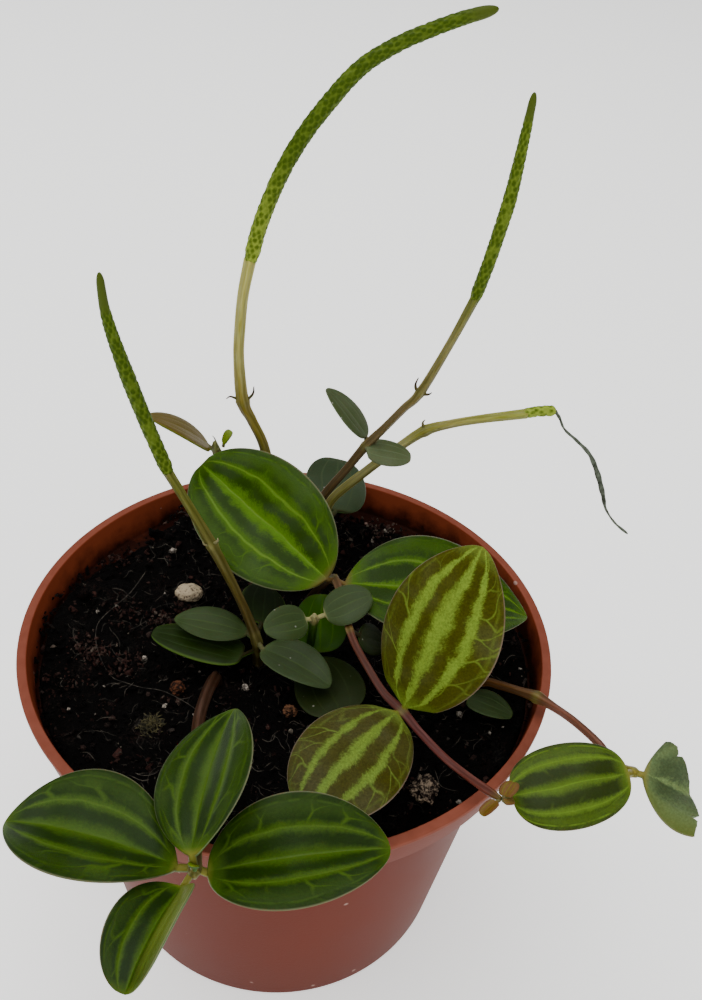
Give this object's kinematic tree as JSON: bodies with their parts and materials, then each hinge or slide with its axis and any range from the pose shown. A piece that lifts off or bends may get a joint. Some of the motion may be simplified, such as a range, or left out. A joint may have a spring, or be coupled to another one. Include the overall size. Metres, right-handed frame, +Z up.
{
  "type": "potted beetle peperomia",
  "caption": "Trailing peperomia with oval striped leaves, thin red-brown stems and slender upright flower spikes, rooted in soil in a round tapered plastic nursery pot.",
  "frame": {"origin": "centre of the pot's resting face, on the pad in the middle of its base", "axes": "+Z up along the pot's axis; the picture looks roughly along +Y, so -Y is the side towards the camera and +X is its right"},
  "size_m": [0.1492, 0.1493, 0.2087],
  "materials": {
    "terracotta_plastic": "satin",
    "potting_soil": "dull",
    "granule": "dull",
    "red_brown_stem": "satin",
    "khaki_stem": "satin",
    "flower_spike": "dull",
    "dried_spike": "dull",
    "dark_green_leaf": "satin",
    "bronze_leaf": "satin",
    "grey_green_leaf": "satin",
    "bright_green_leaf": "satin",
    "olive_leaf": "satin"
  },
  "bodies": {
    "root": {"pot": "terracotta_plastic", "soil": "potting_soil", "granule_1": "granule", "granule_2": "granule", "granule_3": "granule", "granule_4": "granule", "stem_a": "red_brown_stem", "stem_b": "red_brown_stem", "stem_c": "red_brown_stem", "shoot_e": "red_brown_stem", "shoot_f": "red_brown_stem", "flower_stem_1": "khaki_stem", "flower_stem_2": "red_brown_stem", "flower_stem_3": "red_brown_stem", "flower_stem_4": "khaki_stem", "flower_spike_1": "flower_spike", "flower_spike_2": "flower_spike", "flower_spike_3": "flower_spike", "flower_spike_4": "flower_spike", "dried_spike_tail": "dried_spike", "leaf_01": "dark_green_leaf", "leaf_02": "dark_green_leaf", "leaf_03": "bronze_leaf", "leaf_04": "bronze_leaf", "leaf_05": "dark_green_leaf", "leaf_06": "dark_green_leaf", "leaf_07": "dark_green_leaf", "leaf_08": "dark_green_leaf", "leaf_09": "dark_green_leaf", "leaf_10": "dark_green_leaf", "small_leaf_01": "grey_green_leaf", "small_leaf_02": "grey_green_leaf", "small_leaf_03": "grey_green_leaf", "small_leaf_04": "grey_green_leaf", "small_leaf_05": "grey_green_leaf", "small_leaf_06": "grey_green_leaf", "small_leaf_07": "grey_green_leaf", "small_leaf_08": "grey_green_leaf", "small_leaf_09": "grey_green_leaf", "small_leaf_10": "bright_green_leaf", "small_leaf_11": "grey_green_leaf", "small_leaf_12": "grey_green_leaf", "small_leaf_13": "grey_green_leaf", "small_leaf_14": "olive_leaf"}
  },
  "joints": []
}
